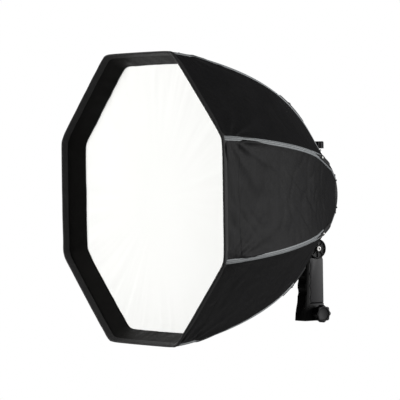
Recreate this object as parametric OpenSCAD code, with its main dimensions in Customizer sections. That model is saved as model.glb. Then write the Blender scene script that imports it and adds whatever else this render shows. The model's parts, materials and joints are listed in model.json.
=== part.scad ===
// Octagonal studio softbox on a flash bracket with a tilting hand grip.
// The origin is the mouth of the stand socket under the grip, +Z is up and
// the white front faces -Y. Softbox parts are drawn in head coordinates:
// x across, y = depth behind the front rim, z = height above the optical axis.
// Each rib is drawn in its own plane: x = distance from the optical axis,
// y = depth behind the front rim, z = along the rim.

/* [Softbox shell] */
// Radius of the front rim, measured to a corner
rim_r = 297; // [285:1:305]
// Depth of the shell at the rear end of the rib curve
rear_depth = 406; // [402:1:410]
// Radius of the shell at the rear end of the rib curve
rear_r = 81; // [80:0.5:84]
// Fabric thickness
cloth_t = 1.5; // [1.2:0.1:1.8]
// Depth of the front diffuser behind the rim
diffuser_depth = 41; // [35:1:50]
// Radius of the front diffuser, measured to a corner
diffuser_r = 271; // [265:1:275]

/* [Ribs] */
// Radius of the flexible rod
rod_r = 1.9; // [1.5:0.1:2.2]
// Distance from the fabric's outside to the middle of a rod or rib arm
rod_inset = 6.5; // [6:0.1:7]
// Width of a rib arm, along the rim
arm_w = 9; // [8:0.5:10]
// Thickness of a rib arm
arm_t = 4.5; // [4:0.1:5]

/* [Rear ring and bracket] */
// Outer radius of the rib ring
ring_r = 78; // [77:0.5:79]
// Depth of the rib ring's front face behind the rim
ring_front = 396; // [395:0.5:397]
// Radius of the clear port for the flash head
port_r = 44; // [42:0.5:45]
// Radius of the rib hinge pins' circle
hinge_r = 83; // [82.5:0.1:83.5]
// Depth of the rib hinge pins
hinge_d = 389.5; // [389:0.1:390]

/* [Grip] */
// Width of the grip
grip_w = 30; // [28:0.5:32]
// Height of the tilt pivot above the socket mouth
pivot_z = 140.5; // [139:0.5:141]
// Pitch of the finger grooves
groove_pitch = 24; // [23:0.5:25]
// Radius of the stand socket's bore
socket_r = 8.1; // [8.05:0.01:8.2]
// Depth of the stand socket
socket_len = 32; // [28:1:32]
// Radius of the tilt disc
disc_r = 19; // [18:0.5:19]
// Radius of the stand clamp knob over its lobes
knob_r = 17; // [15:0.5:18]

/* [Hidden] */

$fn = 48;
rib_count = 8;
half_angle = 180 / rib_count;
// The socket's axis stands this far behind the front rim and below the optical axis
socket_d = 402;
axis_h = 248;
panel_gap = 0.15;
pivot_y = 1;
lug_half_w = 6.5;
ear_in = 7;
ear_out = 13;
ring_back = ring_front + 11;
plate_back = ring_back + 8;
spindle_d = 419;
spindle_r = 3;
stud_z = 14;
stud_r = 4;
shell_bottom = 34;
shell_top = 125;
shell_back = 16;

// ---- Placing ----

function rib_angle(k) = half_angle + 2 * half_angle * (k - 1);

module in_head() {
    translate([0, -socket_d, axis_h]) children();
}

module in_rib(k) {
    in_head() rotate([0, -rib_angle(k), 0]) children();
}

// A cylinder along +X, +Y or +Z of the current frame, from a to b
module rod_x(a, b, r) {
    translate([a, 0, 0]) rotate([0, 90, 0]) cylinder(r = r, h = b - a);
}

module rod_y(a, b, r) {
    translate([0, b, 0]) rotate([90, 0, 0]) cylinder(r = r, h = b - a);
}

module rod_z(a, b, r) {
    translate([0, 0, a]) cylinder(r = r, h = b - a);
}

// An outline in Y and Z, drawn out along X from a to b
module slab_x(a, b) {
    translate([a, 0, 0]) rotate([90, 0, 90]) linear_extrude(b - a) children();
}

// A closed skin through rings that all have the same even number of points
module loft(rings) {
    count = len(rings);
    sides = len(rings[0]);
    polyhedron(
        points = [for (ring = rings) each ring],
        faces = concat(
            [for (j = [0:sides / 2 - 2]) [sides - 1 - j, sides - 2 - j, j + 1, j]],
            [for (i = [0:count - 2], j = [0:sides - 1])
                [i * sides + j, i * sides + (j + 1) % sides, (i + 1) * sides + (j + 1) % sides]],
            [for (i = [0:count - 2], j = [0:sides - 1])
                [i * sides + j, (i + 1) * sides + (j + 1) % sides, (i + 1) * sides + j]],
            let (end = (count - 1) * sides)
                [for (j = [0:sides / 2 - 2]) [end + j, end + j + 1, end + sides - 2 - j, end + sides - 1 - j]]
        )
    );
}

// ---- The rib curve: a Bezier curve of [distance from axis, depth] ----

curve = [[rim_r, 0], [rim_r - 52, 290], [rear_r + 74, rear_depth - 71], [rear_r, rear_depth]];

function curve_at(t) = pow(1 - t, 3) * curve[0] + 3 * pow(1 - t, 2) * t * curve[1]
    + 3 * (1 - t) * t * t * curve[2] + pow(t, 3) * curve[3];

function curve_slope(t) = 3 * pow(1 - t, 2) * (curve[1] - curve[0])
    + 6 * (1 - t) * t * (curve[2] - curve[1]) + 3 * t * t * (curve[3] - curve[2]);

function unit(v) = v / norm(v);

function along(t) = unit(curve_slope(t));

// Points from the curve to the inside of the shell
function inward(t) = [-along(t)[1], along(t)[0]];

function inset(t, s) = curve_at(t) + s * inward(t);

// ---- Fabric ----

// Distance from the axis of a flat octagon side at an angle from its corner
function flat_r(r, angle) = r * cos(half_angle) / cos(half_angle - abs(angle));

function edge_angle(r, gap = panel_gap) = half_angle - gap / r * 180 / PI;

function on_side(r, d, angle) = [flat_r(r, angle) * cos(angle), d, flat_r(r, angle) * sin(angle)];

function cloth_ring(r, d, gap = panel_gap) = let (a = edge_angle(r, gap), r_in = r - cloth_t / cos(half_angle))
    [on_side(r, d, -a), on_side(r, d, 0), on_side(r, d, a),
     on_side(r_in, d, a), on_side(r_in, d, 0), on_side(r_in, d, -a)];

// One eighth of the sewn shell: the two half panels beside a rib and the inner lip
module shell_panel(k) {
    rows = 18;
    color("#1b1b1d") in_rib(k) {
        loft([for (i = [0:rows]) let (p = curve_at(i / rows * 0.97)) cloth_ring(p[0], p[1])]);
        loft([cloth_ring(rim_r - 0.8, 0.4, 2 * panel_gap),
              cloth_ring(diffuser_r + 1.2 * cloth_t, diffuser_depth, 2 * panel_gap)]);
    }
}

// One eighth of the front diffuser, a kite from the axis to the lip
module front_diffuser(k) {
    flat = diffuser_r * cos(half_angle);
    a = edge_angle(flat);
    tip = panel_gap / sin(half_angle);
    color("#f4f2ea") in_rib(k) translate([0, diffuser_depth, 0]) rotate([90, 0, 0])
        linear_extrude(1.2) polygon([
            [tip, 0], flat * [cos(a), -sin(a)], [diffuser_r, 0], flat * [cos(a), sin(a)]
        ]);
}

// ---- Ribs ----

arm_t_start = 0.63;
arm_t_end = 0.93;

// A flat bar along the curve, square to the rib's plane
function bar_ring(p, n, w, t) = [
    [p[0] + n[0] * t / 2, p[1] + n[1] * t / 2, w / 2],
    [p[0] + n[0] * t / 2, p[1] + n[1] * t / 2, -w / 2],
    [p[0] - n[0] * t / 2, p[1] - n[1] * t / 2, -w / 2],
    [p[0] - n[0] * t / 2, p[1] - n[1] * t / 2, w / 2]
];

module rib_arm(k) {
    steps = 6;
    socket_l = 22;
    barrel_r = 4.6;
    barrel_w = 7.8;
    start = inset(arm_t_start, rod_inset);
    back = along(arm_t_start);
    color("#141416") in_rib(k) difference() {
        union() {
            loft([for (i = [0:steps]) let (t = arm_t_start + i / steps * (arm_t_end - arm_t_start))
                bar_ring(inset(t, rod_inset), inward(t), arm_w, arm_t)]);
            loft([
                bar_ring(inset(arm_t_end - 0.02, rod_inset), inward(arm_t_end), barrel_w, arm_t),
                bar_ring([hinge_r, hinge_d], inward(arm_t_end), barrel_w, arm_t)
            ]);
            translate([hinge_r, hinge_d, -barrel_w / 2]) cylinder(r = barrel_r, h = barrel_w);
            translate([start[0], start[1], 0]) rotate([0, 0, atan2(back[1], back[0])])
                rod_x(-socket_l, 4, 4);
        }
        translate([hinge_r, hinge_d, -barrel_w]) cylinder(r = 1.6, h = 2 * barrel_w);
        translate([start[0], start[1], 0]) rotate([0, 0, atan2(back[1], back[0])])
            rod_x(-socket_l - 1, -1, rod_r + 0.15);
    }
}

function rod_ring(p, n) = [for (j = [0:7]) let (a = 360 * j / 8)
    [p[0] + n[0] * rod_r * cos(a), p[1] + n[1] * rod_r * cos(a), -rod_r * sin(a)]];

// A springy rod from its socket in the arm to the corner pocket at the rim
module rib_rod(k) {
    steps = 14;
    back = along(arm_t_start);
    start = inset(arm_t_start, rod_inset);
    tip = 0.03;
    mouth = 0.56;
    color("#2a2a2c") in_rib(k) loft(concat(
        [for (i = [0:steps]) let (t = tip + i / steps * (mouth - tip))
            rod_ring(inset(t, rod_inset), inward(t))],
        [rod_ring(start - 16 * back, inward(arm_t_start)),
         rod_ring(start - 1.5 * back, inward(arm_t_start))]
    ));
}

// ---- Rear ring ----

ear_gap = 4;
ear_t = 3;

// The rib ring carries a pair of ears for each rib's hinge pin
module rib_ring() {
    color("#161617") in_head() difference() {
        union() {
            rod_y(ring_front, ring_back, ring_r);
            for (k = [1:rib_count], side = [-1, 1])
                rotate([0, -rib_angle(k), 0])
                    translate([0, 0, side * (ear_gap + ear_t / 2) - ear_t / 2]) {
                        translate([hinge_r, hinge_d, 0]) cylinder(r = 4.6, h = ear_t);
                        translate([ring_r - 12, hinge_d - 2, 0])
                            cube([hinge_r - ring_r + 12, ring_back - hinge_d, ear_t]);
                    }
        }
        rod_y(ring_front - 20, ring_back + 1, 60);
        for (k = [1:rib_count]) rotate([0, -rib_angle(k), 0])
            translate([hinge_r, hinge_d, -10]) cylinder(r = 1.6, h = 20);
        for (a = [45:90:315]) rotate([0, a, 0]) translate([65, 0, 0])
            rod_y(ring_front + 3, ring_back + 1, 1.6);
    }
}

module hinge_pins() {
    color("#b9bbbd") in_head() for (k = [1:rib_count]) rotate([0, -rib_angle(k), 0])
        translate([hinge_r, hinge_d, -ear_gap - ear_t]) cylinder(r = 1.55, h = 2 * (ear_gap + ear_t));
}

// The inner ring with its three locking lugs, which the bracket holds
module bayonet_ring() {
    color("#222224") in_head() difference() {
        union() {
            rod_y(ring_front, ring_back, 59.8);
            for (a = [90, 210, 330]) rotate([0, -a, 0])
                translate([0, ring_front - 3, -9]) cube([57, 3.2, 18]);
        }
        rod_y(ring_front - 10, ring_back + 10, 50);
    }
}

module ring_screws() {
    color("#8e9092") in_head() for (a = [45:90:315]) rotate([0, a, 0]) translate([65, 0, 0]) {
        rod_y(ring_front + 4, plate_back, 1.5);
        difference() {
            rod_y(plate_back, plate_back + 2, 3);
            translate([-0.5, plate_back + 1, -2]) cube([1, 2, 4]);
        }
    }
}

// ---- Flash bracket ----

boss_low = 60;
boss_top = 72;

// A ring plate with the clamp boss above it and the tilt lug below it
module bracket_frame() {
    color("#19191b") in_head() difference() {
        union() {
            rod_y(ring_back, plate_back, 62);
            for (a = [45:90:315]) rotate([0, a, 0]) translate([65, 0, 0])
                rod_y(ring_back, plate_back, 5.5);
            translate([-9, ring_back, 50]) cube([18, 8, boss_top - 50]);
            translate([-13, ring_back + 4, boss_low]) cube([26, 16, boss_top - boss_low]);
            translate([-lug_half_w, ring_back + 0.5, pivot_z - axis_h + 5])
                cube([2 * lug_half_w, 8, axis_h - pivot_z - 55]);
            translate([0, pivot_y + socket_d, pivot_z - axis_h]) rod_x(-lug_half_w, lug_half_w, 15);
        }
        rod_y(ring_back - 1, plate_back + 1, port_r);
        for (a = [45:90:315]) rotate([0, a, 0]) translate([65, 0, 0])
            rod_y(ring_back - 1, plate_back + 1, 1.6);
        translate([0, spindle_d, 0]) rod_z(boss_low - 1, boss_top + 1, spindle_r + 0.05);
        for (side = [-1, 1]) translate([side * 9, spindle_d, 0])
            rod_z(boss_low - 1, boss_top + 1, 2.05);
        translate([0, pivot_y + socket_d, pivot_z - axis_h]) rod_x(-10, 10, 3.05);
    }
}

jaw_w = 48;
jaw_d = 11;
jaw_h = 9;
pad_t = 3;
lower_jaw_top = -37;
upper_jaw_low = 39;

module jaw_bar(z) {
    translate([-jaw_w / 2, plate_back + 0.3, z]) cube([jaw_w, jaw_d, jaw_h]);
}

module jaw_pad(z) {
    translate([-jaw_w / 2 + 2, plate_back + 0.8, z]) difference() {
        cube([jaw_w - 4, jaw_d - 1, pad_t]);
        for (i = [0:8]) translate([3 + i * 4.5, -1, z < 0 ? pad_t - 0.8 : -0.2])
            cube([1.5, jaw_d + 1, 1]);
    }
}

module lower_jaw() {
    color("#202022") in_head() {
        jaw_bar(lower_jaw_top - jaw_h);
        translate([-10, plate_back, lower_jaw_top - jaw_h - 4]) cube([20, 6, jaw_h]);
    }
}

module lower_jaw_pad() {
    color("#0e0e0f") in_head() jaw_pad(lower_jaw_top);
}

module upper_jaw() {
    color("#202022") in_head() difference() {
        jaw_bar(upper_jaw_low);
        translate([0, spindle_d, 0]) rod_z(upper_jaw_low + 4, upper_jaw_low + jaw_h + 1, 3.35);
        for (side = [-1, 1]) translate([side * 9, spindle_d, 0])
            rod_z(upper_jaw_low + 3, upper_jaw_low + jaw_h + 1, 2);
    }
}

module upper_jaw_pad() {
    color("#0e0e0f") in_head() jaw_pad(upper_jaw_low - pad_t);
}

module guide_rods() {
    color("#c4c6c8") in_head() for (side = [-1, 1]) translate([side * 9, spindle_d, 0])
        rod_z(upper_jaw_low + 3, 86, 2);
}

knob_low = 88;

module clamp_spindle() {
    color("#b0b2b4") in_head() translate([0, spindle_d, 0]) rod_z(upper_jaw_low + 4.5, knob_low, spindle_r);
}

module clamp_knob() {
    knob_h = 14;
    lobes = 10;
    color("#1a1a1c") in_head() translate([0, spindle_d, knob_low]) difference() {
        union() {
            cylinder(r = 12, h = knob_h - 2);
            translate([0, 0, knob_h - 2]) cylinder(r1 = 12, r2 = 10.5, h = 2);
        }
        for (i = [0:lobes - 1]) rotate([0, 0, 360 / lobes * (i + 0.5)])
            translate([13.3, 0, -1]) cylinder(r = 2.4, h = knob_h + 2);
        translate([0, 0, knob_h - 1]) cylinder(r = 7, h = 2);
    }
}

// ---- Tilt joint ----

module tilt_yoke() {
    color("#121213") translate([0, pivot_y, pivot_z]) {
        difference() {
            for (side = [-1, 1]) {
                rod_x(side > 0 ? ear_in : -ear_out, side > 0 ? ear_out : -ear_in, 18);
                translate([side > 0 ? ear_in : -12.4, -15, -26]) cube([12.4 - ear_in, 28, 26]);
            }
            rod_x(-20, 20, 3.05);
        }
        translate([-12.4, -15, -42]) cube([24.8, 28, 23]);
    }
}

// The ribbed round cover outside the yoke's right ear
module tilt_disc() {
    face = ear_out + 5;
    color("#0f0f10") translate([0, pivot_y, pivot_z]) difference() {
        rod_x(ear_out, face, disc_r);
        difference() {
            rod_x(face - 2, face + 1, disc_r - 2);
            rod_x(face - 3, face + 2, 6.5);
            for (i = [0:7]) rotate([i * 45, 0, 0]) translate([face - 3, -0.7, 5]) cube([5, 1.4, disc_r]);
        }
        rod_x(ear_out - 1, face + 1, 3.05);
    }
}

module tilt_bolt() {
    head = ear_out + 5;
    color("#c9cac8") translate([0, pivot_y, pivot_z]) difference() {
        union() {
            rod_x(-24, head, 3);
            rod_x(head, head + 3, 4.7);
        }
        for (a = [0, 90]) rotate([a, 0, 0]) translate([head + 1.5, -2.6, -0.6]) cube([3, 5.2, 1.2]);
    }
}

module friction_washers() {
    color("#8a8b8c") translate([0, pivot_y, pivot_z]) difference() {
        for (side = [-1, 1]) rod_x(side * 6.75 - 0.2, side * 6.75 + 0.2, 12);
        rod_x(-10, 10, 3.1);
    }
}

// The locking lever and its nut on the left end of the bolt
module tilt_lever() {
    color("#17171a") translate([0, pivot_y, pivot_z]) difference() {
        union() {
            rod_x(-26, -13.4, 9);
            translate([-26, 0, -5]) cube([7, 36, 10]);
            translate([0, 36, 0]) rod_x(-26, -19, 5);
        }
        rod_x(-25, -10, 3.05);
    }
}

// ---- Grip ----

groove_r = 22.5;
groove_y = -38;

module grooves(r) {
    for (i = [0:3]) translate([groove_y, shell_bottom - 2 + i * groove_pitch]) circle(r);
}

// Side outline of the hard shells, in Y and Z
module shell_outline(in) {
    corner = 7;
    hull() {
        translate([-20 + in, shell_bottom + in]) square(1);
        translate([shell_back - 1 - in, shell_bottom + in]) square(1);
        translate([shell_back - corner, shell_top - corner]) circle(corner - in);
        translate([-20 + corner, shell_top - corner]) circle(corner - in);
    }
}

module half_shell(side) {
    wall = 2.6;
    half_w = grip_w / 2;
    color("#3d3c3f") mirror([side < 0 ? 1 : 0, 0, 0]) difference() {
        hull() {
            slab_x(0.05, half_w - 2) shell_outline(0);
            slab_x(0.05, half_w) shell_outline(2);
        }
        slab_x(-1, half_w + 1) grooves(groove_r);
        difference() {
            slab_x(-1, half_w - wall) shell_outline(wall);
            slab_x(-2, half_w) grooves(groove_r + wall);
            for (z = [48, 88]) translate([0, 9, z]) rod_x(-1, half_w, 3.5);
        }
        translate([-1, pivot_y - 15.1, 98]) cube([13.5, 28.2, 40]);
        translate([0, pivot_y, pivot_z]) rod_x(12.4, 20, disc_r + 0.4);
        for (z = [48, 88]) translate([0, 9, z]) rod_x(-1, half_w - 3, 1.3);
    }
}

module handle_left_shell() {
    half_shell(-1);
}

module handle_right_shell() {
    half_shell(1);
}

module handle_screws() {
    color("#9b9c9e") for (z = [48, 88]) translate([0, 9, z]) rod_x(-11, 11, 1.25);
}

// Rubber front of the grip: four finger grooves and a flared foot
// Rounds the front of the grip in plan, more deeply towards the foot
module rounded_plan(half_w) {
    hull() for (level = [[-0.5, 26.2], [122, 13.5]]) translate([0, -16, level[0]]) {
        scale([half_w, level[1], 1]) cylinder(h = 0.02, r = 1, $fn = 40);
        translate([-half_w, 0, 0]) cube([2 * half_w, 20, 0.02]);
    }
}

module finger_grip() {
    half_w = grip_w / 2;
    color("#0d0c0c") intersection() {
        rounded_plan(half_w + 0.4);
        difference() {
            union() {
                slab_x(-half_w, half_w) intersection() {
                    union() {
                        grooves(groove_r - 0.05);
                        translate([-28, 0]) square([8, 118]);
                    }
                    polygon([[-29, 14], [-29, 104], [-22, 121], [0, 121], [0, shell_bottom + 0.2],
                        [-18.5, shell_bottom + 0.2], [-18.7, shell_bottom - 0.5], [-24.8, 14]]);
                }
                slab_x(-half_w, half_w) polygon([[-42, 6], [-40, 1], [-29, 0], [-18.5, shell_bottom - 0.5],
                    [-22, 40], [-28, 40]]);
            }
            for (i = [0:2]) translate([0, -29 - 9, shell_bottom + 22 + i * groove_pitch])
                rod_x(-half_w - 1, half_w + 1, 12);
        }
    }
}

module socket_block() {
    half_w = grip_w / 2 - 1;
    color("#0a0a0b") difference() {
        slab_x(-half_w, half_w) polygon([[-28.8, 0], [-12, 0], [14, 0], [shell_back, 2],
            [shell_back, shell_bottom], [-18.3, shell_bottom]]);
        rod_z(-1, shell_bottom + 1, 11);
        translate([0, 0, stud_z]) rod_x(0, 20, stud_r + 0.3);
    }
}

module socket_bushing() {
    color("#7d7f82") difference() {
        rod_z(0, socket_len + 2, 11);
        rod_z(-1, socket_len, socket_r);
        translate([0, 0, stud_z]) rod_x(0, 20, stud_r + 0.05);
    }
}

module stand_stud() {
    color("#b4b6b8") translate([0, 0, stud_z]) rod_x(socket_r + 0.6, 24, stud_r);
}

// The star knob that clamps the stand's spigot
module stand_knob() {
    lobes = 8;
    face = 21;
    knob_t = 14;
    lobe_r = 4.5;
    color("#343337") translate([0, 0, stud_z]) difference() {
        union() {
            rod_x(grip_w / 2 + 1.5, face + 1, 8);
            slab_x(face, face + knob_t) {
                circle(knob_r - 2);
                for (i = [0:lobes - 1]) rotate(360 / lobes * i) translate([knob_r - lobe_r, 0])
                    circle(lobe_r);
            }
        }
        rod_x(0, 24, stud_r);
        rod_x(face + knob_t - 1.2, face + knob_t + 1, knob_r - lobe_r - 1);
    }
}

// ---- Nodes ----

handle_left_shell();
handle_right_shell();
finger_grip();
socket_block();
socket_bushing();
tilt_yoke();
tilt_disc();
tilt_bolt();
friction_washers();
handle_screws();
stand_stud();
stand_knob();
tilt_lever();
bracket_frame();
bayonet_ring();
rib_ring();
hinge_pins();
ring_screws();
lower_jaw();
lower_jaw_pad();
upper_jaw();
upper_jaw_pad();
guide_rods();
clamp_spindle();
clamp_knob();
for (k = [1:rib_count]) {
    rib_arm(k);
    rib_rod(k);
    shell_panel(k);
    front_diffuser(k);
}
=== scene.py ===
"""Octagonal studio softbox on its flash bracket and tilting hand grip: looks, light and camera.

Everything is in metres in the CAD model's frame. Softbox pieces are worked out in head
coordinates: distance from the optical axis, depth behind the front rim, and distance
along the rim from a rib.
"""
import json
import math

import bpy
import numpy as np
from mathutils import Matrix, Vector, noise

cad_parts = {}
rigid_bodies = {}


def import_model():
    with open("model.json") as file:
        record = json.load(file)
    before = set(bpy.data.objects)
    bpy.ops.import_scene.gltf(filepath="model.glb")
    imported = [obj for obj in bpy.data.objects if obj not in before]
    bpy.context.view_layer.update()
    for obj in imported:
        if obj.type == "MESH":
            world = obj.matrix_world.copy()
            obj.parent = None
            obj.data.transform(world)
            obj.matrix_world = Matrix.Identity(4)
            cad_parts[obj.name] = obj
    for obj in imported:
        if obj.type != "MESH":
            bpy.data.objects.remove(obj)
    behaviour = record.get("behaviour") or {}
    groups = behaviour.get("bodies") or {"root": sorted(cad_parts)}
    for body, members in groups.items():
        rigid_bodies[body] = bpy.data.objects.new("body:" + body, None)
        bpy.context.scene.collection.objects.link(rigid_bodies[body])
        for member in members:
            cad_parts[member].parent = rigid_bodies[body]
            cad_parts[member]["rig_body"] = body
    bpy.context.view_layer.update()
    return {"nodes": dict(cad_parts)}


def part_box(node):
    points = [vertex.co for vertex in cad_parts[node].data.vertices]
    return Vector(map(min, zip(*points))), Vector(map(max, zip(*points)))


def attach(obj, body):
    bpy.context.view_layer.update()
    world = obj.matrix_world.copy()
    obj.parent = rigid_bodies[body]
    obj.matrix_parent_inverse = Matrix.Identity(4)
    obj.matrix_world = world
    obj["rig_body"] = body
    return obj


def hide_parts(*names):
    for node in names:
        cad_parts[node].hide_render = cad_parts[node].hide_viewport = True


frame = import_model()
MM = 0.001

# ---- Sizes that the CAD model gives ----

RIBS = range(1, 9)
HALF = math.pi / 8
TAN = math.tan(HALF)
panel_boxes = [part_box(f"shell_panel_{k}") for k in RIBS]
FRONT_Y = min(low.y for low, high in panel_boxes)
AXIS_Z = (min(low.z for low, high in panel_boxes) + max(high.z for low, high in panel_boxes)) / 2
RIM_R = max(high.x for low, high in panel_boxes) / math.cos(HALF)
diffuser_boxes = [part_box(f"front_diffuser_{k}") for k in RIBS]
WHITE_DEPTH = min(low.y for low, high in diffuser_boxes) - FRONT_Y
WHITE_R = max(high.x for low, high in diffuser_boxes) / math.cos(HALF)
REAR_R, REAR_DEPTH = 81 * MM, 406 * MM
SHELL_END = 0.97

# ---- The camera ----

AZIMUTH, ELEVATION, ROLL = math.radians(55.34), math.radians(1.27), math.radians(-0.93)
DISTANCE, ASIDE, RAISED = 5.4, 0.1127, -0.0021


def add_camera():
    """A long lens from the front right, level with the softbox."""
    back = Vector((math.sin(AZIMUTH) * math.cos(ELEVATION), -math.cos(AZIMUTH) * math.cos(ELEVATION),
                   math.sin(ELEVATION)))
    level = Vector((math.cos(AZIMUTH), math.sin(AZIMUTH), 0))
    upright = back.cross(level)
    right = math.cos(ROLL) * level + math.sin(ROLL) * upright
    up = math.cos(ROLL) * upright - math.sin(ROLL) * level
    place = Vector((0, FRONT_Y, AXIS_Z)) + ASIDE * right + RAISED * up + DISTANCE * back
    data = bpy.data.cameras.new("studio_camera")
    data.sensor_width = 36
    data.lens = 259
    data.clip_end = 60
    camera = bpy.data.objects.new("studio_camera", data)
    bpy.context.scene.collection.objects.link(camera)
    camera.matrix_world = Matrix.Translation(place) @ Matrix((right, up, back)).transposed().to_4x4()
    bpy.context.scene.camera = camera


# ---- Materials ----


class Link:
    """A socket in a finish's nodes; arithmetic on it adds Math nodes."""

    def __init__(self, finish, socket):
        self.finish, self.socket = finish, socket

    def calc(self, operation, *values):
        return self.finish.node("Math", {"operation": operation}, dict(enumerate(values)))

    def __add__(self, other):
        return self.calc("ADD", self, other)

    def __sub__(self, other):
        return self.calc("SUBTRACT", self, other)

    def __rsub__(self, other):
        return self.calc("SUBTRACT", other, self)

    def __mul__(self, other):
        return self.calc("MULTIPLY", self, other)

    __radd__, __rmul__ = __add__, __mul__

    def at_least(self, other):
        return self.calc("MAXIMUM", self, other)

    def wave(self, pitch):
        """1 at multiples of pitch and -1 halfway between them."""
        return self.calc("COSINE", self * (2 * math.pi / pitch))

    def band(self, middle, width):
        """1 where the value is within width of middle, else 0."""
        return self.calc("COMPARE", self, middle, width)


class Finish:
    """A procedural material, put together from expressions."""

    def __init__(self, name):
        self.material = bpy.data.materials.new(name)
        self.material.use_nodes = True
        self.tree = self.material.node_tree

    def feed(self, socket, value):
        if isinstance(value, Link):
            self.tree.links.new(value.socket, socket)
        elif hasattr(value, "__len__") and len(socket.default_value) > len(value):
            socket.default_value = (*value, 1)
        else:
            socket.default_value = value

    def node(self, kind, settings=None, inputs=None, out=0):
        made = self.tree.nodes.new("ShaderNode" + kind)
        for name, value in (settings or {}).items():
            setattr(made, name, value)
        for name, value in (inputs or {}).items():
            self.feed(made.inputs[name], value)
        return Link(self, made.outputs[out])

    def here(self):
        return self.node("TexCoord", out="Object")

    def across_and_along(self):
        """The cloth's own coordinates in metres: across the panel and along it."""
        place = self.node("UVMap", {"uv_map": "weave"})
        return (self.node("SeparateXYZ", inputs={0: place}, out=0),
                self.node("SeparateXYZ", inputs={0: place}, out=1))

    def cloud(self, scale, detail=3, rough=0.55, at=None):
        return self.node("TexNoise", inputs={"Vector": at or self.here(), "Scale": scale,
                                             "Detail": detail, "Roughness": rough})

    def grain(self, stretch, scale, detail=2):
        """Noise drawn out along an axis by a small stretch value."""
        drawn = self.node("VectorMath", {"operation": "MULTIPLY"}, {0: self.here(), 1: stretch})
        return self.cloud(scale, detail, at=drawn)

    def blend(self, share, first, second):
        return self.node("Mix", {"data_type": "RGBA"}, {0: share, 6: first, 7: second}, out=2)

    def bump(self, height, depth, strength=1.0):
        return self.node("Bump", inputs={"Height": height, "Distance": depth, "Strength": strength})

    def surface(self, **sockets):
        shader = self.tree.nodes["Principled BSDF"]
        for name, value in sockets.items():
            self.feed(shader.inputs[name.replace("_", " ")], value)
        return self.material


def woven_black(name, dark, pale, sheen):
    """Tight black nylon with a faint ripstop grid and rubbed, paler patches."""
    f = Finish(name)
    across, along = f.across_and_along()
    thread, grid = 1.1 * MM, 5.5 * MM
    weave = across.wave(thread) * along.wave(thread) * 0.5 + 0.5
    ripstop = ((across.wave(grid).at_least(along.wave(grid)) - 0.86) * 7).at_least(0)
    rubbed = f.cloud(9, 4)
    fine = f.cloud(140, 3)
    tone = rubbed * 0.7 + fine * 0.25 + ripstop * 0.12 + weave * 0.12
    colour = f.blend(tone - 0.15, dark, pale)
    height = weave * 0.5 + ripstop * 0.5 + fine * 0.6
    return f.surface(Base_Color=colour, Roughness=rubbed * 0.14 + fine * 0.1 + 0.44,
                     Normal=f.bump(height, 0.22 * MM, 0.6), Specular_IOR_Level=0.14, Sheen_Weight=sheen,
                     Sheen_Roughness=0.35)


def silver_lining():
    """Crushed silver coating inside the shell."""
    f = Finish("silver_lining")
    crease = f.node("TexVoronoi", {"feature": "DISTANCE_TO_EDGE"}, {"Vector": f.here(), "Scale": 90})
    crush = f.cloud(60, 4)
    return f.surface(Base_Color=f.blend(crush, (0.42, 0.43, 0.44), (0.66, 0.67, 0.68)), Metallic=0.65,
                     Roughness=crush * 0.25 + 0.22, Normal=f.bump(crush + crease * 0.8, 0.8 * MM, 0.5))


def white_cloth():
    """Plain woven white diffusion cloth, a little uneven in tone."""
    f = Finish("white_diffusion_cloth")
    across, along = f.across_and_along()
    thread = 0.9 * MM
    weave = across.wave(thread) * along.wave(thread) * 0.5 + 0.5
    slack = f.cloud(7, 3)
    return f.surface(Base_Color=f.blend(slack, (0.93, 0.935, 0.91), (0.97, 0.97, 0.955)),
                     Roughness=slack * 0.1 + 0.75, Normal=f.bump(weave, 0.1 * MM, 0.35),
                     Sheen_Weight=0.1, Sheen_Roughness=0.5)


def ribbon_tape():
    """Silver grey ribbon: three woven cords side by side with dark channels between them."""
    f = Finish("grey_ribbon")
    across, along = f.across_and_along()
    off_centre, half_channel = 1.75 * MM, 0.42 * MM
    channel = across.band(off_centre, half_channel) + across.band(-off_centre, half_channel)
    twill = (across + along * 0.55).wave(1.3 * MM) * 0.5 + 0.5
    stitch = along.wave(3.2 * MM).calc("GREATER_THAN", along.wave(3.2 * MM), -0.35)
    soil = f.cloud(38, 3)
    body = f.blend(twill * 0.45 + soil * 0.5, (0.24, 0.256, 0.266), (0.40, 0.42, 0.43))
    thread = f.blend(stitch, (0.03, 0.031, 0.033), (0.13, 0.137, 0.142))
    return f.surface(Base_Color=f.blend(channel, body, thread), Roughness=twill * 0.12 + 0.38,
                     Normal=f.bump(twill + stitch * channel * 2, 0.18 * MM, 0.7),
                     Sheen_Weight=0.05, Sheen_Roughness=0.3)


def ribbed_binding():
    """Black grosgrain with fine cross ribs."""
    f = Finish("black_binding")
    across, along = f.across_and_along()
    rib = across.wave(1.5 * MM) * 0.5 + 0.5
    wear = f.cloud(26, 3)
    colour = f.blend(wear * 0.6 + rib * 0.3, (0.008, 0.008, 0.0085), (0.024, 0.023, 0.023))
    return f.surface(Base_Color=colour, Roughness=wear * 0.15 + 0.5,
                     Normal=f.bump(rib, 0.25 * MM, 0.7), Specular_IOR_Level=0.35)


def webbing_strap():
    """Black herringbone webbing, rubbed paler in places."""
    f = Finish("black_webbing")
    across, along = f.across_and_along()
    herring = (along + across.calc("ABSOLUTE", across)).wave(1.8 * MM) * 0.5 + 0.5
    wear = f.cloud(55, 3)
    colour = f.blend(wear * 0.7 + herring * 0.25, (0.006, 0.006, 0.0065), (0.03, 0.03, 0.031))
    return f.surface(Base_Color=colour, Roughness=wear * 0.2 + 0.5, Normal=f.bump(herring, 0.3 * MM, 0.8),
                     Specular_IOR_Level=0.35)


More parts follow.
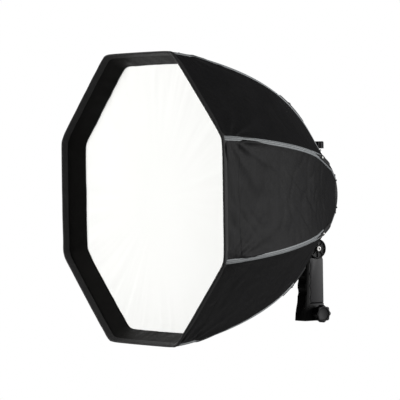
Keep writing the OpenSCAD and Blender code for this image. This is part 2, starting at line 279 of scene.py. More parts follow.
def moulded(name, dark, pale, rough, texture, depth, shine):
    """Moulded plastic: spark texture, flow marks and handling shine."""
    f = Finish(name)
    spark = f.cloud(texture, 2, 0.6)
    flow = f.cloud(18, 3)
    colour = f.blend(flow * 0.8 + spark * 0.2, dark, pale)
    return f.surface(Base_Color=colour, Roughness=flow * 0.14 + spark * 0.08 + rough,
                     Normal=f.bump(spark, depth, 0.5), Specular_IOR_Level=shine)


def soft_rubber(name, dark, pale):
    """Matt rubber with a pebbled skin and a little dust."""
    f = Finish(name)
    pebble = f.node("TexVoronoi", inputs={"Vector": f.here(), "Scale": 900})
    dust = f.cloud(30, 4)
    return f.surface(Base_Color=f.blend(dust * 0.8, dark, pale), Roughness=dust * 0.18 + 0.5,
                     Normal=f.bump(1 - pebble, 0.12 * MM, 0.5), Specular_IOR_Level=0.2)


def bright_metal(name, dark, pale, rough, stretch):
    """Bare or plated steel with drawn lines and dulled spots."""
    f = Finish(name)
    drawn = f.grain(stretch, 900)
    spots = f.cloud(220, 3)
    return f.surface(Base_Color=f.blend(spots * 0.6 + drawn * 0.4, dark, pale), Metallic=1.0,
                     Roughness=drawn * 0.14 + spots * 0.12 + rough, Normal=f.bump(drawn, 0.05 * MM, 0.4))


def powder_coat(name, dark, pale):
    """Black powder coat: orange-peel skin, with bare metal just showing where it is rubbed."""
    f = Finish(name)
    peel = f.cloud(420, 2)
    broad = f.cloud(24, 3)
    return f.surface(Base_Color=f.blend(broad, dark, pale), Metallic=0.2,
                     Roughness=peel * 0.1 + broad * 0.12 + 0.38, Normal=f.bump(peel, 0.12 * MM, 0.55))


black_cloth = woven_black("black_shell_cloth", (0.004, 0.004, 0.0044), (0.0118, 0.0114, 0.0124), 0.02)
# The lip's cloth is the shell's black nylon made about three times darker. This is painted shade: it keeps the
# lip as dark as the shade inside the rim, although light bounced off the white front falls on it.
lip_cloth_painted_shade = woven_black("black_lip_cloth_painted_shade", (0.0011, 0.001, 0.0009), (0.0044, 0.0038, 0.0032), 0.006)
lining = silver_lining()
white = white_cloth()
ribbon = ribbon_tape()
binding = ribbed_binding()
webbing = webbing_strap()
shell_plastic = moulded("charcoal_shell_plastic", (0.011, 0.0106, 0.0122), (0.021, 0.02, 0.0225),
                        rough=0.37, texture=700, depth=0.08 * MM, shine=0.3)
black_plastic = moulded("black_moulded_plastic", (0.002, 0.002, 0.0022), (0.006, 0.006, 0.0065),
                        rough=0.4, texture=620, depth=0.07 * MM, shine=0.2)
knob_plastic = moulded("dark_grey_knob_plastic", (0.0035, 0.0033, 0.0042), (0.008, 0.0076, 0.0092),
                       rough=0.38, texture=560, depth=0.06 * MM, shine=0.2)
grip_rubber = soft_rubber("soft_grip_rubber", (0.0016, 0.0016, 0.0016), (0.0048, 0.0046, 0.0044))
pad_rubber = soft_rubber("ribbed_pad_rubber", (0.004, 0.004, 0.004), (0.012, 0.012, 0.012))
bright_steel = bright_metal("plated_steel", (0.5, 0.5, 0.49), (0.72, 0.72, 0.7), 0.18, (1, 1, 0.05))
dull_steel = bright_metal("tumbled_steel", (0.3, 0.295, 0.285), (0.46, 0.455, 0.44), 0.36, (1, 1, 0.05))
bracket_coat = powder_coat("bracket_powder_coat", (0.008, 0.008, 0.009), (0.018, 0.018, 0.0195))
rod_coat = powder_coat("rod_coating", (0.02, 0.02, 0.021), (0.04, 0.04, 0.042))

# ---- The rib curve and the sewn ring ----

CONTROL = np.array([(RIM_R, 0), (RIM_R - 52 * MM, 290 * MM), (REAR_R + 74 * MM, REAR_DEPTH - 71 * MM),
                    (REAR_R, REAR_DEPTH)])


def curve(t):
    """Distance from the axis and depth of the shell at a corner, for t from 0 at the rim to 1."""
    t = np.asarray(t, float)[..., None]
    a, b, c, d = CONTROL
    return (1 - t) ** 3 * a + 3 * (1 - t) ** 2 * t * b + 3 * (1 - t) * t * t * c + t ** 3 * d


FINE = np.linspace(0, 1, 2001)
FINE_LENGTH = np.concatenate([[0], np.cumsum(np.linalg.norm(np.diff(curve(FINE), axis=0), axis=1))])


def length_at(t):
    return np.interp(t, FINE, FINE_LENGTH)


def t_at_length(length):
    return np.interp(length, FINE_LENGTH, FINE)


def t_at_depth(depth):
    return np.interp(depth, curve(FINE)[:, 1], FINE)


# Columns run round the ring: rib by rib, from the middle of one panel to the middle of the next
SIDE = 40
CROWDING = 1.45  # crowds the columns towards the ribs
ACROSS = np.linspace(-1, 1, 2 * SIDE + 1)
REACH = np.sign(ACROSS) * np.abs(ACROSS) ** CROWDING
COLUMN_U = np.tile(REACH[:-1], 8)
COLUMN_RIB = np.repeat(np.arange(8), 2 * SIDE)
COLUMN_ANGLE = HALF * (2 * COLUMN_RIB + 1)


def in_frame(x, depth, z, angle):
    """Rib-plane coordinates to the row frame."""
    return np.stack([x * np.cos(angle) - z * np.sin(angle), FRONT_Y + depth + 0 * x,
                     AXIS_Z + x * np.sin(angle) + z * np.cos(angle)], axis=-1)


def ring(r, depth, rounding):
    """Rows of octagons, each with a radius, a depth and a rounding of its corners."""
    r, depth, rounding = (np.asarray(v, float)[:, None] for v in (r, depth, rounding))
    z = COLUMN_U * r * math.cos(HALF) * math.sin(HALF)
    x = r - TAN * np.sqrt(z ** 2 + rounding ** 2)
    return in_frame(x, depth, z, COLUMN_ANGLE)


def ring_normals(grid):
    """Outward normals of a ring of rows, taken across the places where it will be parted."""
    round_it = np.roll(grid, -1, axis=1) - np.roll(grid, 1, axis=1)
    down_it = np.gradient(grid, axis=0)
    normal = np.cross(round_it, down_it)
    normal /= np.linalg.norm(normal, axis=2, keepdims=True) + 1e-12
    outward = grid - np.array([0, 0, AXIS_Z])
    outward[..., 1] = 0
    if (normal * outward).sum() < 0:
        normal = -normal
    return normal


def eighth(grid, k):
    """The columns of a ring that belong to rib k."""
    columns = (np.arange(-SIDE, SIDE + 1) + SIDE + (k - 1) * 2 * SIDE) % grid.shape[1]
    return grid[:, columns]


def wobble(a, b, c):
    """Smooth noise from -1 to 1 at many places."""
    a, b, c = np.broadcast_arrays(a, b, c)
    values = [noise.noise(place) for place in zip(a.ravel(), b.ravel(), c.ravel())]
    return np.array(values).reshape(a.shape)


# ---- Mesh making ----


def new_object(name, points, faces, finish):
    mesh = bpy.data.meshes.new(name)
    mesh.from_pydata([tuple(p) for p in points], [], [tuple(int(i) for i in f) for f in faces])
    piece = bpy.data.objects.new(name, mesh)
    bpy.context.scene.collection.objects.link(piece)
    for material in finish if isinstance(finish, list) else [finish]:
        mesh.materials.append(material)
    return piece


def set_weave(mesh, across, along):
    """The cloth's own coordinates, as a UV map in metres."""
    vertex = np.zeros(len(mesh.loops), int)
    mesh.loops.foreach_get("vertex_index", vertex)
    flat = np.stack([across[vertex], along[vertex]], axis=1)
    mesh.uv_layers.new(name="weave").data.foreach_set("uv", flat.astype(np.float32).ravel())


def squares(index):
    return np.stack([index[:-1, :-1], index[:-1, 1:], index[1:, 1:], index[1:, :-1]], axis=-1).reshape(-1, 4)


def skin(name, top, normal, thickness, across, along, finish, under_finish=None):
    """A thin closed sheet under a grid of points, smooth across the edges where it was parted."""
    rows, columns = top.shape[:2]
    count = rows * columns
    points = np.concatenate([top.reshape(-1, 3), (top - normal * thickness).reshape(-1, 3)])
    index = np.arange(count).reshape(rows, columns)
    face = squares(index)
    middle = face[len(face) // 2]
    a, b, c = points[middle[:3]]
    if np.cross(b - a, c - b) @ normal.reshape(-1, 3)[middle[0]] < 0:
        face = face[:, ::-1]
        index = index[:, ::-1]
    border = np.concatenate([index[0], index[1:, -1], index[-1, -2::-1], index[-2:0:-1, 0]])
    after = np.roll(border, -1)
    rim = np.stack([after, border, border + count, after + count], axis=1)
    piece = new_object(name, points, np.concatenate([face, face[:, ::-1] + count, rim]),
                       [finish, under_finish] if under_finish else finish)
    mesh = piece.data
    if under_finish:
        slots = np.zeros(len(mesh.polygons), int)
        slots[len(face):2 * len(face)] = 1
        mesh.polygons.foreach_set("material_index", slots)
    set_weave(mesh, np.tile(across.ravel(), 2), np.tile(along.ravel(), 2))
    mesh.shade_smooth()
    flat = normal.reshape(-1, 3)
    mesh.normals_split_custom_set_from_vertices(np.concatenate([flat, -flat]))
    return piece


def swept(name, rings, across, along, finish):
    """A closed strip through rings of points, with flat ends."""
    count, sides = rings.shape[:2]
    index = np.arange(count * sides).reshape(count, sides)
    wrapped = np.concatenate([index, index[:, :1]], axis=1)
    faces = [tuple(f) for f in squares(wrapped)] + [tuple(index[0]), tuple(index[-1][::-1])]
    piece = new_object(name, rings.reshape(-1, 3), faces, finish)
    set_weave(piece.data, across.ravel(), along.ravel())
    tidy_normals(piece)
    smooth(piece, 50)
    return piece


def activate(piece):
    bpy.ops.object.select_all(action="DESELECT")
    bpy.context.view_layer.objects.active = piece
    piece.select_set(True)


def tidy_normals(piece):
    activate(piece)
    bpy.ops.object.mode_set(mode="EDIT")
    bpy.ops.mesh.select_all(action="SELECT")
    bpy.ops.mesh.normals_make_consistent(inside=False)
    bpy.ops.object.mode_set(mode="OBJECT")


def smooth(piece, degrees):
    activate(piece)
    bpy.ops.object.shade_smooth_by_angle(angle=math.radians(degrees))


def finish_piece(piece, body, slot, *nodes):
    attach(piece, body)
    if nodes:
        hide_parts(*nodes)
    return piece


# ---- Shell cloth ----

SEAM_LENGTH = float(length_at(t_at_depth(WHITE_DEPTH)))
SHELL_T = np.unique(np.concatenate([
    np.linspace(0, SHELL_END, 122), t_at_length([4 * MM, 8 * MM]),
    t_at_length(SEAM_LENGTH + np.array([-1.6, -0.8, 0, 0.8, 1.6]) * MM)]))
shell_r, shell_d = curve(SHELL_T).T
shell_length = length_at(SHELL_T)
CORNER = 9 * MM
CREASE = 2.6 * MM
CLOTH = 0.8 * MM
WHITE_CLOTH = 0.7 * MM


def corner_rounding(length):
    """Corners are round at the rim and draw tight over the rods behind it."""
    return CREASE + (CORNER - CREASE) * np.exp(-(np.asarray(length) / (26 * MM)) ** 1.5)


def held_ends(length):
    """0 at the rim and at the rear opening, where bindings hold the cloth, and 1 between them."""
    return np.clip(length / 0.02, 0, 1) * np.clip((shell_length[-1] - length) / 0.03, 0, 1)


def hollow(length, slack):
    """The panel draws in between its ribs, because tension runs along them."""
    return -3.6 * MM * slack * np.sin(np.pi * np.clip(length / shell_length[-1], 0, 1)) ** 1.3


def tape_puckers(length, s, edge, panel):
    """Small gathers that the taped seam makes beside the ribbon."""
    beat = wobble(length / 0.05, panel * 7.3, np.sign(s) * 2.1)
    gather = np.exp(-edge / 0.012) * np.sin(length * 2 * np.pi / 0.019 + 5 * beat)
    return 0.9 * MM * (gather - 0.4) * np.clip((edge - 6 * MM) / 0.006, 0, 1) * np.exp(-edge / 0.03)


def wrinkles(length, w, slack, panel):
    """Soft unevenness, two sets of creases, and ripples behind the white front and near the rear."""
    height = 2.2 * MM * slack ** 0.6 * wobble(w / 0.075, length / 0.11, panel * 3.7)
    height += 1.0 * MM * slack ** 0.5 * wobble(w / 0.03 + 3, length / 0.05, panel * 5.1)
    tilted = w * 0.8 + length * 0.6
    upright_crease = np.abs(wobble(w / 0.055, length / 0.032, panel * 4.3))
    tilted_crease = np.abs(wobble(tilted / 0.03 + 4, length / 0.07, panel * 4.3 + 4))
    for crease in (upright_crease, tilted_crease):
        height -= 0.75 * MM * slack ** 0.6 * np.exp(-(crease / 0.16) ** 2)
    height *= held_ends(length)
    behind_front = np.exp(-((length - 0.09) / 0.055) ** 2)
    height += 1.6 * MM * slack ** 0.5 * behind_front * wobble(w / 0.07 + 9, length / 0.013, panel * 2.3)
    near_rear = np.exp(-((length - 0.31) / 0.07) ** 2)
    return height + 1.0 * MM * slack * near_rear * wobble(w / 0.12 + 4, length / 0.012, panel * 1.9)


def corner_folds(length, w, reach, panel):
    """Four folds that fan out from each front corner of the panel."""
    height = 0
    for side in (-1, 1):
        for i in range(4):
            lean = 0.30 + 0.42 * i + 0.12 * np.sin(3.1 * panel + 5.7 * i + side)
            x = (side * (reach - 0.006) - w) * side
            y = length - (0.006 + 0.012 * i)
            far = x * np.cos(lean) + y * np.sin(lean)
            off = -x * np.sin(lean) + y * np.cos(lean)
            size = (2.6 + 0.8 * np.sin(2.7 * panel + 1.9 * i + 2 * side)) * MM
            wide = 0.0045 + 0.05 * np.clip(far, 0, 1)
            fade = np.clip(far / 0.012, 0, 1) * np.exp(-np.clip(far - 0.02, 0, 1) / (0.05 + 0.008 * i))
            height += size * fade * np.exp(-(off / wide) ** 2)
    return height


def shell_height(length, s, reach, panel):
    """How far the cloth stands off the flat between two ribs. s is -1 and 1 at the ribs."""
    w = s * reach
    edge = reach - np.abs(w)
    slack = 1 - s ** 2
    clear_of_rib = np.clip(edge / 0.004, 0, 1)
    front_seam = 0.4 * MM * np.exp(-((length - SEAM_LENGTH) / (1.3 * MM)) ** 2)
    return (hollow(length, slack) + tape_puckers(length, s, edge, panel) + wrinkles(length, w, slack, panel)
            + (corner_folds(length, w, reach, panel) - front_seam) * clear_of_rib)


def make_shell_ring():
    """The whole sewn shell as one surface, before it is parted midway between the ribs."""
    flat = ring(shell_r, shell_d, corner_rounding(shell_length))
    normal = ring_normals(flat)
    reach = (shell_r * math.sin(HALF))[:, None] + 0 * COLUMN_U
    s = np.where(COLUMN_U >= 0, COLUMN_U - 1, COLUMN_U + 1)[None, :] + 0 * reach
    panel = np.where(COLUMN_U >= 0, COLUMN_RIB, (COLUMN_RIB - 1) % 8)[None, :] + 0 * reach
    height = shell_height(shell_length[:, None] + 0 * reach, s, reach, panel)
    surface = flat + normal * height[..., None]
    return surface, ring_normals(surface)


def make_lip_ring():
    """The inner lip, from the rim to the white front, with its outward normals and the share of its depth."""
    rows = np.linspace(0, 1, 15)
    first_r, last_r, first_depth = RIM_R - 0.8 * MM, WHITE_R + 1.5 * MM, 0.4 * MM
    r = first_r + rows * (last_r - first_r)
    surface = ring(r, first_depth + rows * (WHITE_DEPTH - first_depth), CORNER + 0 * rows)
    normal = -ring_normals(surface)
    place = (COLUMN_RIB + COLUMN_U / 2)[None, :] + 0 * rows[:, None]
    swing = rows[:, None] ** 1.3
    ripple = wobble(place * 14, rows[:, None] * 1.5 + 20, 0.5) * 1.3
    ripple += wobble(place * 5, rows[:, None] + 7, 2.5) * 1.6
    surface = surface + normal * (ripple * swing * MM)[..., None]
    return surface, -ring_normals(surface), rows


def make_cloth():
    """The shell and lip of each rib, as pairs of pieces by rib number."""
    shell, shell_normal = make_shell_ring()
    lip, lip_normal, lip_rows = make_lip_ring()
    lip_long = math.hypot(RIM_R - WHITE_R, WHITE_DEPTH)
    pieces = {}
    for k in RIBS:
        across = REACH * (shell_r * math.sin(HALF))[:, None]
        along = shell_length[:, None] + 0 * across
        shell_piece = skin(f"shell_{k}", eighth(shell, k), eighth(shell_normal, k), CLOTH, across, along,
                           black_cloth, lining)
        finish_piece(shell_piece, f"rib_{k}", "black_fabric", f"shell_panel_{k}")
        across = REACH * (RIM_R * math.sin(HALF)) + 0 * lip_rows[:, None]
        # The lip takes the darker copy of the black cloth, which has painted shade in its colour.
        lip_piece = skin(f"front_lip_{k}", eighth(lip, k), eighth(lip_normal, k), CLOTH, across,
                         lip_rows[:, None] * lip_long + 0 * across, lip_cloth_painted_shade)
        finish_piece(lip_piece, f"rib_{k}", "black_fabric")
        pieces[k] = [shell_piece, lip_piece]
    return pieces


# ---- Front diffuser ----


def make_diffusers():
    """Eight kites of one stretched white sheet, with slack folds into its corners."""
    rows = np.concatenate([[0.0], np.linspace(0.03, 1, 40)])
    edge = WHITE_R + 1.2 * MM
    r = rows * edge
    surface = ring(r, WHITE_DEPTH + 0 * rows, CORNER * rows)
    radius = np.hypot(surface[..., 0], surface[..., 2] - AXIS_Z)
    turn = np.arctan2(surface[..., 2] - AXIS_Z, surface[..., 0])
    out = np.clip(rows, 0, 1)[:, None]
    fold = wobble(turn * 9, radius / 0.16, 1.5) * out ** 2 * 1.5
    fold += wobble(turn * 22, radius / 0.09, 4.5) * out ** 4 * 0.9
    fold += wobble(surface[..., 0] / 0.12, surface[..., 2] / 0.12, 8.5) * 0.9
    held = np.clip((1 - out) / 0.05, 0, 1)
    surface[..., 1] += (1.2 + fold * held) * MM
    normal = ring_normals(surface)
    normal = np.where(normal[..., 1:2] > 0, -normal, normal)
    normal[0] = (0, -1, 0)
    for k in RIBS:
        top, up = eighth(surface, k), eighth(normal, k)
        columns = top.shape[1]
        body, lift = top[1:], up[1:]
        count = body.shape[0] * columns
        points = np.concatenate([body.reshape(-1, 3), (body - lift * WHITE_CLOTH).reshape(-1, 3),
                                 [top[0, 0], top[0, 0] + (0, WHITE_CLOTH, 0)]])
        index = np.arange(count).reshape(-1, columns)
        front, rear = 2 * count, 2 * count + 1
        face = squares(index)[:, ::-1]
        faces = [tuple(f) for f in face] + [tuple(f[::-1] + count) for f in face]
        faces += [(front, index[0, i], index[0, i + 1]) for i in range(columns - 1)]
        faces += [(rear, index[0, i + 1] + count, index[0, i] + count) for i in range(columns - 1)]
        border = np.concatenate([[front], index[:, 0], index[-1, 1:], index[-2::-1, -1]])
        under = np.concatenate([[rear], border[1:] + count])
        faces += list(zip(border, np.roll(border, -1), np.roll(under, -1), under))
        piece = new_object(f"white_front_{k}", points, faces, white)
        middle = HALF * (2 * k - 1)
        flat_x = points[:, 0] * math.cos(middle) + (points[:, 2] - AXIS_Z) * math.sin(middle)
        flat_z = (points[:, 2] - AXIS_Z) * math.cos(middle) - points[:, 0] * math.sin(middle)
        set_weave(piece.data, flat_z, flat_x)
        tidy_normals(piece)
        piece.data.shade_smooth()
        upward = np.concatenate([lift.reshape(-1, 3), -lift.reshape(-1, 3), [(0, -1, 0), (0, 1, 0)]])
        piece.data.normals_split_custom_set_from_vertices(upward)
        finish_piece(piece, f"rib_{k}", "white_fabric", f"front_diffuser_{k}")


# ---- Bindings, ribbon and rib fittings ----


def make_rim_binding(k):
    """A folded grosgrain strip over the rim, from one panel's middle to the next."""
    profile = np.array([(-1.7, 8.6), (-0.7, 8.3), (-0.2, 6.0), (0.55, 2.4), (0.7, 0.6), (0.3, -0.8),
                        (-0.7, -1.5), (-2.0, -1.4), (-3.2, -0.4), (-4.6, 2.0), (-6.6, 5.6), (-8.2, 8.4),
                        (-7.6, 9.0), (-4.4, 4.0), (-1.9, 1.6)]) * MM
    rows = eighth(ring(RIM_R + profile[:, 0], profile[:, 1], CORNER + 0 * profile[:, 0]), k)
    waver = 0.6 * MM * wobble((k + ACROSS / 2) * 9, 3.5, 1.5)
    rows[..., 1] += waver * np.clip((1 - np.abs(ACROSS)) * 6, 0, 1)
    rings = rows.transpose(1, 0, 2)
    across = (REACH * RIM_R * math.sin(HALF))[:, None] + 0 * rings[..., 0]
    along = np.linspace(0, 22 * MM, len(profile))[None, :] + 0 * across
    piece = swept(f"rim_binding_{k}", rings, across, along, binding)
    return finish_piece(piece, f"rib_{k}", "black_fabric")


def over_rib(k, t, z, lift):
    """Points on the shell over rib k, lifted off it. t is a column of rows, z a row of places."""
    t = np.asarray(t, float)[:, None]
    place = curve(t[:, 0])
    slope = curve(np.minimum(t[:, 0] + 0.001, 1)) - curve(t[:, 0] - 0.001)
    slope /= np.linalg.norm(slope, axis=1, keepdims=True)
    outward = np.stack([slope[:, 1], -slope[:, 0]], axis=1)
    rounding = corner_rounding(length_at(t))
    x = place[:, 0, None] - TAN * np.sqrt(z ** 2 + rounding ** 2) + outward[:, 0, None] * lift
    return in_frame(x, place[:, 1, None] + outward[:, 1, None] * lift, z, HALF * (2 * k - 1))


RIVET_T = float(t_at_depth(295 * MM))
POCKET_END_T = float(t_at_depth(337 * MM))
TONGUE_T = float(t_at_depth(270 * MM))
RIBBON_HALF = 4.7 * MM


def strip_over_rib(name, k, t, centre, half_width, high, low, finish, columns, crown=0.0, corrugation=0.0):
    """A strip over rib k, from low to high off the shell, domed by crown or channelled by corrugation."""
    share = np.linspace(-1, 1, columns)
    z = np.asarray(centre)[:, None] + np.asarray(half_width)[:, None] * share
    rise = high * (1 - np.abs(share) ** 8 * 0.8) + crown * (1 - share ** 2)
    rise = rise - corrugation * np.exp(-((np.abs(share) - 0.37) / 0.07) ** 2)
    top = over_rib(k, t, z, rise[None, :])
    bottom = over_rib(k, t, z[:, ::-1], low + 0 * z)
    rings = np.concatenate([top, bottom], axis=1)
    wide = np.concatenate([z, z[:, ::-1]], axis=1)
    return swept(name, rings, wide, length_at(np.asarray(t))[:, None] + 0 * wide, finish)


def make_rib_trim(k):
    """The ribbon over rib k, the pocket that ends it and the piping on the pocket's two sides."""
    body = f"rib_{k}"
    made = []
    t = np.linspace(float(t_at_length(5 * MM)), RIVET_T, 150)
    length = length_at(t)
    shake = 0.28 * MM * wobble(length / 0.045, k * 3.3, 0.7)
    tip = np.clip((RIVET_T - t) / (RIVET_T - TONGUE_T), 0, 1)
    half = RIBBON_HALF * (0.35 + 0.65 * tip ** 0.7)
    tape = strip_over_rib(f"seam_ribbon_{k}", k, t, shake, half, 0.95 * MM, -0.3 * MM, ribbon,
                          columns=23, corrugation=0.55 * MM)
    made.append(finish_piece(tape, body, "white_fabric"))

    t = np.linspace(TONGUE_T, POCKET_END_T, 40)
    share = (t - t[0]) / (t[-1] - t[0])
    half = (0.5 + 6.3 * np.clip(share / 0.5, 0, 1) ** 1.2) * MM * np.where(share > 0.93, 0.93, 1)
    pocket = strip_over_rib(f"rib_pocket_{k}", k, t, 0 * t, half, 1.5 * MM, -0.3 * MM, webbing, columns=17,
                            crown=1.0 * MM)
    made.append(finish_piece(pocket, body, "black_fabric"))

    for side, end_t in ((-1, SHELL_END - 0.004), (1, RIVET_T + 0.01)):
        t = np.linspace(TONGUE_T - 0.03, end_t, 60)
        share = np.clip((t - TONGUE_T) / (POCKET_END_T - TONGUE_T) / 0.5, 0, 1)
        spread = side * (4.1 + 3.4 * share ** 1.2 - 3.6 * np.clip((t - POCKET_END_T) / 0.1, 0, 1)) * MM
        piping = strip_over_rib(f"rib_piping_{k}_{'a' if side < 0 else 'b'}", k, t, spread, 1.0 * MM + 0 * t,
                                0.75 * MM, -0.3 * MM, ribbon, columns=7, crown=0.55 * MM)
        made.append(finish_piece(piping, body, "white_fabric"))
    return made


def frame_at(k, t, lift):
    """A place over rib k, with the outward direction there and the one along the rib."""
    place = over_rib(k, [t], np.zeros((1, 1)), lift)[0, 0]
    ahead = over_rib(k, [t + 0.004], np.zeros((1, 1)), lift)[0, 0]
    angle = HALF * (2 * k - 1)
    along = Vector(ahead - place).normalized()
    beside = Vector((-math.sin(angle), 0, math.cos(angle)))
    outward = along.cross(beside)
    if outward.dot(Vector((math.cos(angle), 0.3, math.sin(angle)))) < 0:
        outward = -outward
    return Vector(place), outward.normalized(), along


def place_by(piece, place, outward, along):
    """Turns a piece made upright at the origin so its +Z points outward, then fixes it there."""
    side = along.cross(outward).normalized()
    turn = Matrix((side, outward.cross(side), outward)).transposed()
    piece.matrix_world = Matrix.Translation(place) @ turn.to_4x4()
    activate(piece)
    bpy.ops.object.transform_apply(location=True, rotation=True, scale=True)


def edit_faces(piece, test):
    """Goes into edit mode with the faces selected whose normal passes a test."""
    activate(piece)
    bpy.ops.object.mode_set(mode="EDIT")
    bpy.ops.mesh.select_mode(type="FACE")
    bpy.ops.mesh.select_all(action="DESELECT")
    bpy.ops.object.mode_set(mode="OBJECT")
    for face in piece.data.polygons:
        face.select = bool(test(face.normal))
    bpy.ops.object.mode_set(mode="EDIT")


def modifier(piece, kind, **settings):
    activate(piece)
    made = piece.modifiers.new(kind.lower(), kind)
    for name, value in settings.items():
        setattr(made, name, value)
    bpy.ops.object.modifier_apply(modifier=made.name)


def start(kind, name, finish, **size):
    bpy.ops.object.select_all(action="DESELECT")
    getattr(bpy.ops.mesh, f"primitive_{kind}_add")(**size)
    piece = bpy.context.object
    piece.name = piece.data.name = name
    piece.data.materials.clear()
    piece.data.materials.append(finish)
    return piece


def make_rivet(k):
    """A domed rivet cap with a turned rim, on the pocket."""
    place, outward, along = frame_at(k, RIVET_T + 0.006, 2.3 * MM)
    cap = start("cylinder", f"rivet_{k}", bright_steel, vertices=28, radius=3.7 * MM, depth=1.2 * MM)
    edit_faces(cap, lambda normal: normal.z > 0.9)
    for inset, rise in ((0.7 * MM, 0.55 * MM), (1.3 * MM, 0.35 * MM), (0.9 * MM, 0.1 * MM)):
        bpy.ops.mesh.inset(thickness=inset)
        bpy.ops.transform.translate(value=(0, 0, rise))
    bpy.ops.object.mode_set(mode="OBJECT")
    modifier(cap, "BEVEL", width=0.16 * MM, segments=2, limit_method="ANGLE", angle_limit=math.radians(25))
    smooth(cap, 40)
    place_by(cap, place, outward, along)
    return finish_piece(cap, f"rib_{k}", "bright_steel")


def make_rear_hem(k):
    """A black binding folded over the rear opening's edge."""
    before, end = curve([SHELL_END - 0.012, SHELL_END])
    back = (end - before) / np.linalg.norm(end - before)
    out = np.array([back[1], -back[0]])
    shape = [(-4.2, 0.15), (-3.8, 0.75), (-0.4, 0.85), (0.7, 0.3), (0.9, -0.6), (0.5, -1.5), (-0.6, -1.9),
             (-3.8, -1.75), (-4.2, -1.2)]
    profile = np.array([end + a * MM * back + b * MM * out for a, b in shape])
    rows = eighth(ring(profile[:, 0], profile[:, 1], CREASE + 0 * profile[:, 0]), k)
    rings = rows.transpose(1, 0, 2)
    across = np.linspace(-3, 3, len(shape))[None, :] * MM + 0 * rings[..., 0]
    along = (REACH * REAR_R * math.sin(HALF))[:, None] + 0 * across
    piece = swept(f"rear_hem_{k}", rings, across, along, binding)
    return finish_piece(piece, f"rib_{k}", "black_fabric")


# ---- Hard parts: merged copies of the CAD nodes with their edges rounded over ----


def refined(name, node, finish, slot, edge, segments=2):
    source = frame["nodes"][node]
    piece = bpy.data.objects.new(name, source.data.copy())
    piece.data.name = name
    bpy.context.scene.collection.objects.link(piece)
    piece.data.materials.clear()
    piece.data.materials.append(finish)
    activate(piece)
    if piece.data.has_custom_normals:
        bpy.ops.mesh.customdata_custom_splitnormals_clear()
    bpy.ops.object.mode_set(mode="EDIT")
    bpy.ops.mesh.select_all(action="SELECT")
    bpy.ops.mesh.remove_doubles(threshold=0.004 * MM)
    bpy.ops.mesh.dissolve_limited(angle_limit=math.radians(0.6))
    bpy.ops.object.mode_set(mode="OBJECT")
    if edge:
        modifier(piece, "BEVEL", width=edge, segments=segments, limit_method="ANGLE",
                 angle_limit=math.radians(32), use_clamp_overlap=False)
    smooth(piece, 34)
    return finish_piece(piece, source["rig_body"], slot, node)


def make_hard_parts():
    refined("grip_shell_left", "handle_left_shell", shell_plastic, "shell_plastic", 0.9 * MM, 3)
    refined("grip_shell_right", "handle_right_shell", shell_plastic, "shell_plastic", 0.9 * MM, 3)
    refined("finger_rubber", "finger_grip", grip_rubber, "grip_rubber", 1.1 * MM, 3)
    refined("foot_block", "socket_block", black_plastic, "black_plastic", 0.7 * MM, 3)
    refined("socket_sleeve", "socket_bushing", bright_steel, "bright_steel", 0.35 * MM)
    refined("yoke", "tilt_yoke", black_plastic, "black_plastic", 0.6 * MM)
    refined("ribbed_disc", "tilt_disc", black_plastic, "black_plastic", 0.3 * MM)
    refined("pivot_bolt", "tilt_bolt", dull_steel, "bright_steel", 0.3 * MM, 3)
    refined("washers", "friction_washers", bright_steel, "bright_steel", 0)
    refined("shell_screws", "handle_screws", bright_steel, "bright_steel", 0.15 * MM)
    refined("clamp_stud", "stand_stud", bright_steel, "bright_steel", 0.4 * MM)
    refined("star_knob", "stand_knob", knob_plastic, "knob_plastic", 0.8 * MM, 3)
    refined("locking_lever", "tilt_lever", black_plastic, "black_plastic", 0.8 * MM, 3)
    refined("bracket_plate", "bracket_frame", bracket_coat, "bracket_metal", 0.5 * MM)
    refined("locking_ring", "bayonet_ring", bracket_coat, "bracket_metal", 0.4 * MM)
    refined("hinge_ring", "rib_ring", black_plastic, "black_plastic", 0.3 * MM)
    refined("rib_pins", "hinge_pins", bright_steel, "bright_steel", 0.2 * MM)
    refined("ring_bolts", "ring_screws", bright_steel, "bright_steel", 0.2 * MM)
    refined("clamp_foot", "lower_jaw", bracket_coat, "bracket_metal", 0.6 * MM)
    refined("clamp_foot_pad", "lower_jaw_pad", pad_rubber, "pad_rubber", 0.15 * MM)
    refined("clamp_head", "upper_jaw", bracket_coat, "bracket_metal", 0.6 * MM)
    refined("clamp_head_pad", "upper_jaw_pad", pad_rubber, "pad_rubber", 0.15 * MM)
    refined("slide_rods", "guide_rods", bright_steel, "bright_steel", 0.3 * MM)
    refined("lead_screw", "clamp_spindle", bright_steel, "bright_steel", 0.3 * MM)
    refined("clamp_dial", "clamp_knob", knob_plastic, "knob_plastic", 0.5 * MM, 3)
    for k in RIBS:
        refined(f"rib_link_{k}", f"rib_arm_{k}", black_plastic, "black_plastic", 0.4 * MM)
        refined(f"rib_wire_{k}", f"rib_rod_{k}", rod_coat, "rod_steel", 0)


# ---- Light, floor and world ----


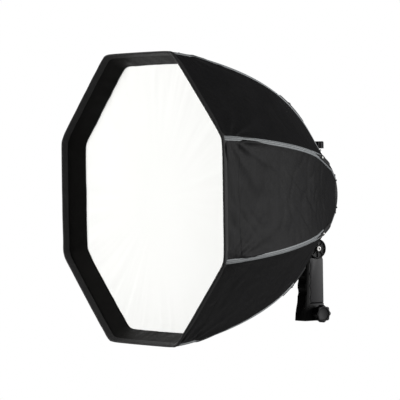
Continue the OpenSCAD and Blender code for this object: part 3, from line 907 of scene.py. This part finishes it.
def add_light(name, place, aim, size, power, spread):
    data = bpy.data.lights.new(name, "AREA")
    data.shape, data.size, data.size_y = "RECTANGLE", size[0], size[1]
    data.energy, data.spread = power, math.radians(spread)
    light = bpy.data.objects.new(name, data)
    bpy.context.scene.collection.objects.link(light)
    light.location = place
    light.rotation_euler = (Vector(aim) - Vector(place)).to_track_quat("-Z", "Y").to_euler()


def add_studio():
    """Four soft windows, a pale floor below the softbox, and a white world that gives little light."""
    middle = Vector((0, FRONT_Y / 2, AXIS_Z))
    for name, offset, size, power, spread in (
            ("front_window", (-1.6, -4.2, 0.9), (2.4, 2.4), 26, 50),
            ("side_strip", (1.9, 2.5, 0.3), (1.2, 2.0), 16, 80),
            ("side_fill", (4.2, -0.6, 0.8), (2.2, 2.2), 3, 80),
            ("top_window", (0.4, 0.6, 3.6), (2.6, 2.6), 3, 60)):
        add_light(name, middle + Vector(offset), middle, size, power, spread)
    pale = Finish("pale_floor").surface(Base_Color=(0.72, 0.72, 0.71), Roughness=0.85)
    floor = start("cylinder", "studio_floor", pale, vertices=96, radius=3.4, depth=0.02, location=(0, 0, -1.15))
    world = bpy.data.worlds.new("white_studio")
    bpy.context.scene.world = world
    world.use_nodes = True
    nodes, links = world.node_tree.nodes, world.node_tree.links
    seen = nodes.new("ShaderNodeBackground")
    seen.inputs["Strength"].default_value = 1.0
    seen.inputs["Color"].default_value = (1, 1, 1, 1)
    lit = nodes["Background"]
    lit.inputs["Color"].default_value = (1, 1, 1, 1)
    lit.inputs["Strength"].default_value = 0.04
    path, mix = nodes.new("ShaderNodeLightPath"), nodes.new("ShaderNodeMixShader")
    links.new(path.outputs["Is Camera Ray"], mix.inputs[0])
    links.new(lit.outputs[0], mix.inputs[1])
    links.new(seen.outputs[0], mix.inputs[2])
    links.new(mix.outputs[0], nodes["World Output"].inputs[0])
    bpy.context.scene.view_settings.view_transform = "Standard"


add_camera()
cloth = make_cloth()
make_diffusers()
make_hard_parts()
for k in RIBS:
    trim = [make_rim_binding(k), *make_rib_trim(k), make_rivet(k), make_rear_hem(k)]
add_studio()
